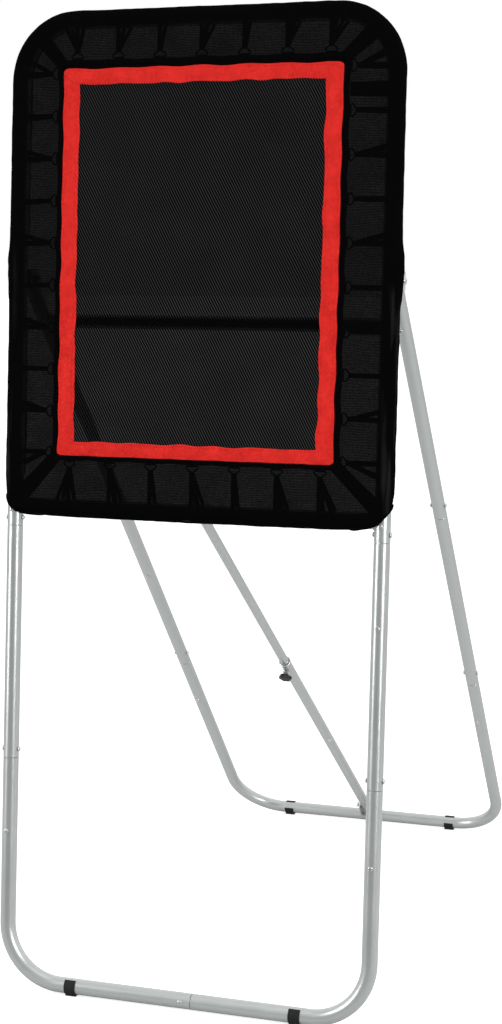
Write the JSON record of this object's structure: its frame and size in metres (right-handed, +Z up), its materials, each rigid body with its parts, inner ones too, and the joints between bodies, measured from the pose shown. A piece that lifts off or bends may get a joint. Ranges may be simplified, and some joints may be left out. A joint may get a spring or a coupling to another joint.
{
  "type": "pitching target net",
  "caption": "Easel-type steel tube stand with a sprung see-through target mat, red strike-zone border, folding rear frame and telescoping strut.",
  "frame": {"origin": "on the floor, midway between the two floor tubes and in the middle of the stand's width", "axes": "+Z up; the target faces -Y; X runs across the stand"},
  "size_m": [0.693, 1.2055, 1.6756],
  "materials": {
    "silver_steel": "silver-grey powder coat, satin",
    "zinc": "zinc plated",
    "rubber": "matt black",
    "black_plastic": "moulded, satin",
    "mat_mesh": "woven open polypropylene mesh",
    "cover_mesh": "fine see-through polyester mesh",
    "red_webbing": "woven webbing",
    "black_webbing": "woven webbing",
    "elastic": "woven elastic"
  },
  "bodies": {
    "front_frame": {"bottom_rail": "silver_steel", "elastic_straps_bottom": "elastic", "elastic_straps_left": "elastic", "elastic_straps_right": "elastic", "elastic_straps_top": "elastic", "front_floor_sleeve": "silver_steel", "front_foot_bend_left": "silver_steel", "front_foot_bend_right": "silver_steel", "front_foot_clip_left": "rubber", "front_foot_clip_right": "rubber", "front_lower_bolt_left": "zinc", "front_lower_bolt_right": "zinc", "front_lower_sleeve_left": "silver_steel", "front_lower_sleeve_right": "silver_steel", "front_mid_leg_left": "silver_steel", "front_mid_leg_right": "silver_steel", "front_upper_bolt_left": "zinc", "front_upper_bolt_right": "zinc", "front_upper_sleeve_left": "silver_steel", "front_upper_sleeve_right": "silver_steel", "mat_binding": "black_webbing", "mesh_cover": "cover_mesh", "pivot_bracket_left": "silver_steel", "pivot_bracket_right": "silver_steel", "strike_zone_border": "red_webbing", "strut_top_bolt": "zinc", "strut_top_bracket": "silver_steel", "strut_top_nut": "zinc", "target_frame_tube": "silver_steel", "target_mat": "mat_mesh"},
    "rear_frame": {"pivot_bolt_left": "zinc", "pivot_bolt_right": "zinc", "pivot_nut_left": "zinc", "pivot_nut_right": "zinc", "rear_crossbar": "silver_steel", "rear_floor_sleeve": "silver_steel", "rear_foot_bend_left": "silver_steel", "rear_foot_bend_right": "silver_steel", "rear_foot_clip_left": "rubber", "rear_foot_clip_right": "rubber", "rear_lower_bolt_left": "zinc", "rear_lower_bolt_right": "zinc", "rear_lower_sleeve_left": "silver_steel", "rear_lower_sleeve_right": "silver_steel", "rear_mid_leg_left": "silver_steel", "rear_mid_leg_right": "silver_steel", "rear_upper_bolt_left": "zinc", "rear_upper_bolt_right": "zinc", "rear_upper_leg_left": "silver_steel", "rear_upper_leg_right": "silver_steel", "rear_upper_sleeve_left": "silver_steel", "rear_upper_sleeve_right": "silver_steel", "strut_foot_bolt": "zinc", "strut_foot_bracket": "silver_steel"},
    "strut_outer": {"clamp_nut": "zinc", "strut_collar": "zinc", "strut_outer_tube": "silver_steel"},
    "strut_inner": {"strut_inner_tube": "silver_steel"},
    "clamp": {"clamp_knob": "black_plastic", "clamp_stud": "zinc"}
  },
  "joints": [
    {"name": "rear_frame_fold", "type": "hinge", "parent": "front_frame", "child": "rear_frame", "pos_m": [0, -0.45975, 1.22939], "axis": [-1, 0, 0], "range_deg": [0, 45]},
    {"name": "strut_foot_pivot", "type": "hinge", "parent": "rear_frame", "child": "strut_outer", "pos_m": [0, 0.5637, 0.04371], "axis": [-1, 0, 0], "range_deg": [0, 12.2]},
    {"name": "strut_slide", "type": "slide", "parent": "strut_outer", "child": "strut_inner", "axis": [0, -0.7983, 0.6023], "range_m": [-0.1455, 0]},
    {"name": "clamp_knob_turn", "type": "hinge", "parent": "strut_outer", "child": "clamp", "pos_m": [0, -0.00889, 0.47571], "axis": [0, -0.6023, -0.7983], "range_deg": [0, 360]}
  ],
  "couplings": [
    {"joint": "strut_foot_pivot", "follows": "rear_frame_fold", "ratio": 0.26976},
    {"joint": "strut_slide", "follows": "rear_frame_fold", "m_per_rad": -0.18459}
  ]
}
